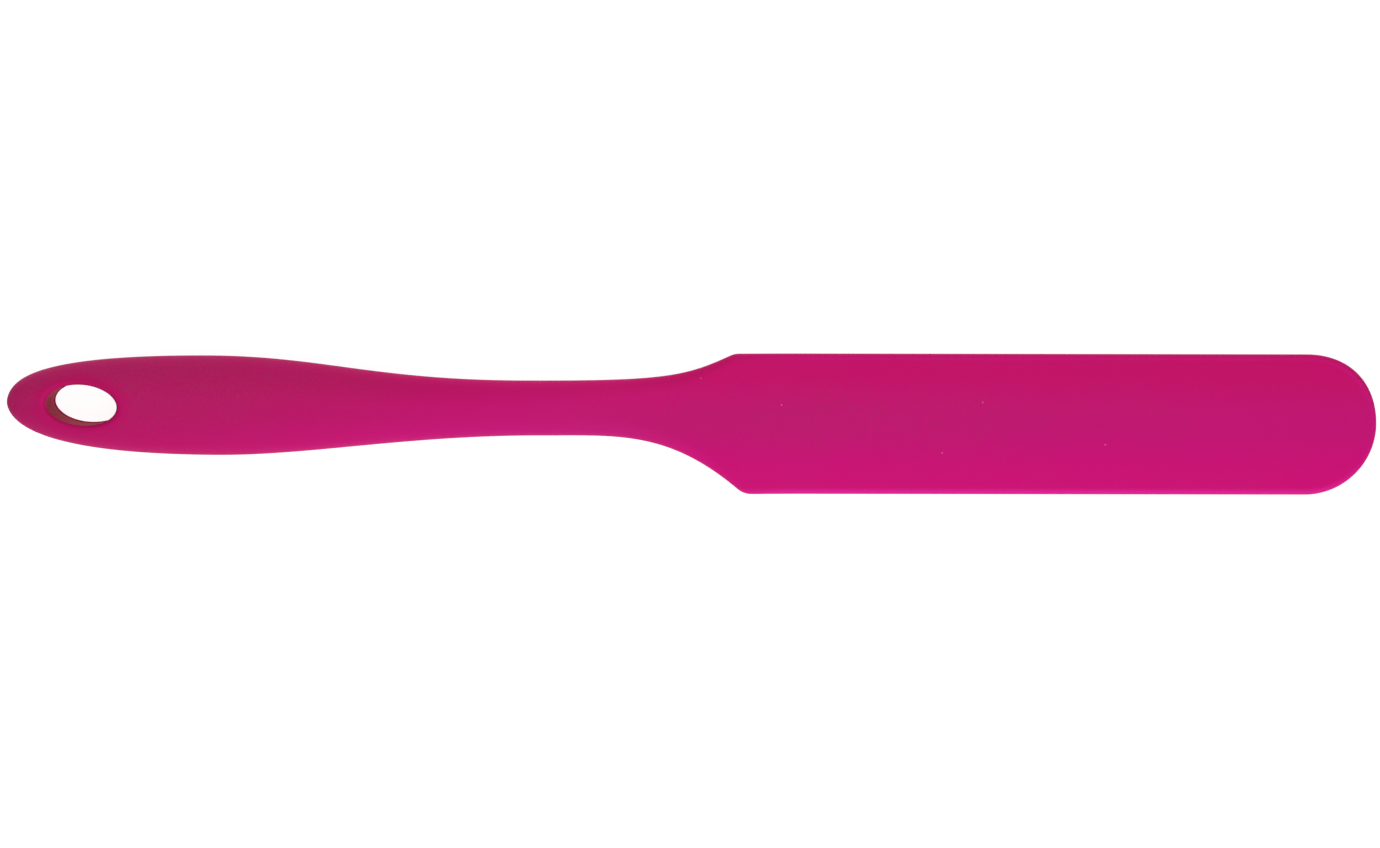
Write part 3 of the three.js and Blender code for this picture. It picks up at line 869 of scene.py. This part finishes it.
def painted_edge_highlight(n, x, y):
    """Where the blade's rounded edge has a painted highlight and is smoother than its faces: most on
    its -Y side, where the light falls, and less right at the outline."""
    past_centre = n.math("MAXIMUM", n.math("SUBTRACT", x, TIP_CENTRE_X * MM), 0)
    square = n.math("ADD", n.math("POWER", past_centre, 2), n.math("POWER", y, 2))
    reach = n.math("POWER", square, 0.5)
    rounded = n.ramp_mm(reach, *(BLADE_HALF_WIDTH - depth for depth in HIGHLIGHT_DEPTHS))
    crest = (BLADE_HALF_WIDTH - depth for depth in HIGHLIGHT_CREST_DEPTHS)
    inside = n.ramp_mm(reach, *crest, *HIGHLIGHT_CREST_SHARES)
    lower_side = n.ramp_mm(y, *HIGHLIGHT_Y, *HIGHLIGHT_Y_SHARES)
    return n.product(rounded, inside, lower_side, n.ramp_mm(x, *HIGHLIGHT_X))


def silicone():
    """Matte moulded silicone: magenta, with painted shade across it, over the neck and towards the
    butt, a faint clouding, a dusty bloom with painted sheen, a painted highlight and smoother finish
    along the blade's edge, a fine moulded grain and the odd grain of dust."""
    n = Nodes("silicone")
    n.set(IOR=1.41, Specular_IOR_Level=0.05)
    x, y = n.along("X"), n.along("Y")
    # painted shade: darker on the +Y side and lighter on the -Y side, evened out over the neck
    neck = n.product(n.ramp_mm(x, *NECK_FROM_GRIP_X), n.ramp_mm(x, *NECK_FROM_BLADE_X))
    colour = n.mix(neck, n.shades(y, SILICONE_PAINTED_SHADE), n.shades(y, SILICONE_NECK_PAINTED_SHADE))
    # painted shade, darker towards the butt
    colour = n.mix(n.ramp_mm(x, *BUTT_PAINTED_SHADE_X, 0, BUTT_PAINTED_SHADE_MOST), colour, SILICONE_BUTT_PAINTED_SHADE)
    grain = n.noise(GRAIN_SIZE * MM, detail=3, roughness=0.65)
    speckle = n.ramp(grain, *SPECKLE_SPAN, to_high=SPECKLE_MOST)
    # the dusty bloom, partly painted sheen
    bloom = n.product(bloom_and_sheen_share(n, x, y), speckle)
    clouds = n.ramp(n.noise(CLOUD_SIZE * MM, detail=3), *NOISE_SPAN, to_high=CLOUD_MOST)
    clouding = n.product(clouds, speckle)
    colour = n.mix(n.math("ADD", bloom, clouding), colour, SILICONE_BLOOM_AND_SHEEN)
    # a painted highlight along the blade's edge, where it is also smoother
    edge = painted_edge_highlight(n, x, y)
    colour = n.mix(edge, colour, SILICONE_EDGE_HIGHLIGHT)
    dust = n.specks(DUST_SPACING * MM, DUST_RADIUS * MM, DUST_SHARE)
    colour = n.mix(n.product(dust, n.ramp_mm(x, *DUST_X)), colour, SILICONE_DUST)
    n.feed("Base Color", colour)
    matte = n.ramp(n.noise(MATTE_SIZE * MM), *NOISE_SPAN, *MATTE_ROUGHNESS)
    n.feed("Roughness", n.math("SUBTRACT", matte, n.product(edge, EDGE_SMOOTHER)))
    fine = n.bump(grain, GRAIN_DEPTH * MM)
    waves = n.noise(WAVES_SIZE * MM, detail=1)
    n.feed("Normal", n.bump(waves, WAVES_DEPTH * MM, onto=fine))
    return n.material


FLECK_SPAN = (0.4, 0.72)
NYLON_ROUGHNESS = (0.72, 0.86)


def nylon():
    """Unpolished glass-filled nylon: dull red with fine lighter flecks of glass."""
    n = Nodes("nylon")
    n.set(Specular_IOR_Level=0.15)
    fibres = n.noise(0.5 * MM, detail=4, roughness=0.7, vector=n.stretched((0.35, 1, 1)))
    n.feed("Base Color", n.mix(n.ramp(fibres, *FLECK_SPAN), NYLON, NYLON_FLECK))
    n.feed("Roughness", n.ramp(fibres, *NOISE_SPAN, *NYLON_ROUGHNESS))
    n.feed("Normal", n.bump(fibres, depth=0.02 * MM))
    return n.material


LINE_SHADE = 0.85  # how dark its lines are, of its colour
LINE_ROUGHNESS = 0.06  # how far its roughness goes to both sides


def steel(name, colour, roughness):
    """Satin steel, with fine lines along the direction it was rolled."""
    n = Nodes(name)
    n.set(Metallic=1.0)
    lines = n.noise(0.12 * MM, detail=3, vector=n.stretched((0.02, 1, 1)))
    darker = tuple(LINE_SHADE * c for c in colour)
    n.feed("Base Color", n.mix(n.ramp(lines, *NOISE_SPAN), colour, darker))
    rougher = (roughness - LINE_ROUGHNESS, roughness + LINE_ROUGHNESS)
    n.feed("Roughness", n.ramp(lines, *NOISE_SPAN, *rougher))
    n.feed("Normal", n.bump(lines, depth=0.004 * MM))
    return n.material


def white_floor():
    n = Nodes("floor")
    n.set(Base_Color=FLOOR_ALBEDO, Roughness=0.9, Specular_IOR_Level=0)
    n.set(Emission_Color=(1, 1, 1, 1), Emission_Strength=FLOOR_GLOW)
    return n.material


# ---- Floor and light -------------------------------------------------------------------------

FLOOR_HALF = 2.0
LIGHTS = (  # name, place, size across, power and colour
    ("key", (0.15, -0.6, 0.45), 0.6, 2.8, (1, 0.95, 1.12)),
    ("fill", (0.0, 0.6, 0.5), 0.6, 1.75, (1, 0.95, 0.92)),
    ("top", (0.0, -0.1, 0.75), 0.3, 1.3, (1, 1, 1)),
)
SURROUND_COLOUR = (1, 0.97, 0.95, 1)  # of the light that comes from all round
SURROUND_STRENGTH = 0.25


def make_floor():
    low, high = -FLOOR_HALF, FLOOR_HALF
    mesh = bpy.data.meshes.new("floor")
    corners = [(low, low, 0), (high, low, 0), (high, high, 0), (low, high, 0)]
    mesh.from_pydata(corners, [], [(0, 1, 2, 3)])
    floor = bpy.data.objects.new("floor", mesh)
    bpy.context.scene.collection.objects.link(floor)
    mesh.materials.append(white_floor())


def area_light(name, place, size, power, colour):
    data = bpy.data.lights.new(name, "AREA")
    data.shape = "DISK"
    data.size = size
    data.energy = power
    data.color = colour
    light = bpy.data.objects.new(name, data)
    bpy.context.scene.collection.objects.link(light)
    light.location = place
    light.rotation_euler = (-Vector(place)).to_track_quat("-Z", "Y").to_euler()


def make_light():
    world = bpy.data.worlds.new("studio")
    world.use_nodes = True
    background = world.node_tree.nodes["Background"]
    background.inputs["Color"].default_value = SURROUND_COLOUR
    background.inputs["Strength"].default_value = SURROUND_STRENGTH
    bpy.context.scene.world = world
    for light in LIGHTS:
        area_light(*light)
    bpy.context.scene.view_settings.view_transform = "Standard"


# ---- Putting it together ---------------------------------------------------------------------


def dress(node, material):
    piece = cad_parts[node]
    piece.data.materials.clear()
    piece.data.materials.append(material)
    smooth(piece)


make_camera()
make_floor()
make_light()

skin = silicone_skin()
skin.data.materials.append(silicone())
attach(skin, "root")
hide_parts("silicone_skin")

dress("handle_core", nylon())
dress("blade_spring", steel("stainless", STAINLESS, roughness=0.3))
rivet_steel = steel("rivet_steel", RIVET_STEEL, roughness=0.36)
for place in ("rear", "front"):
    dress(f"tang_rivet_{place}", rivet_steel)
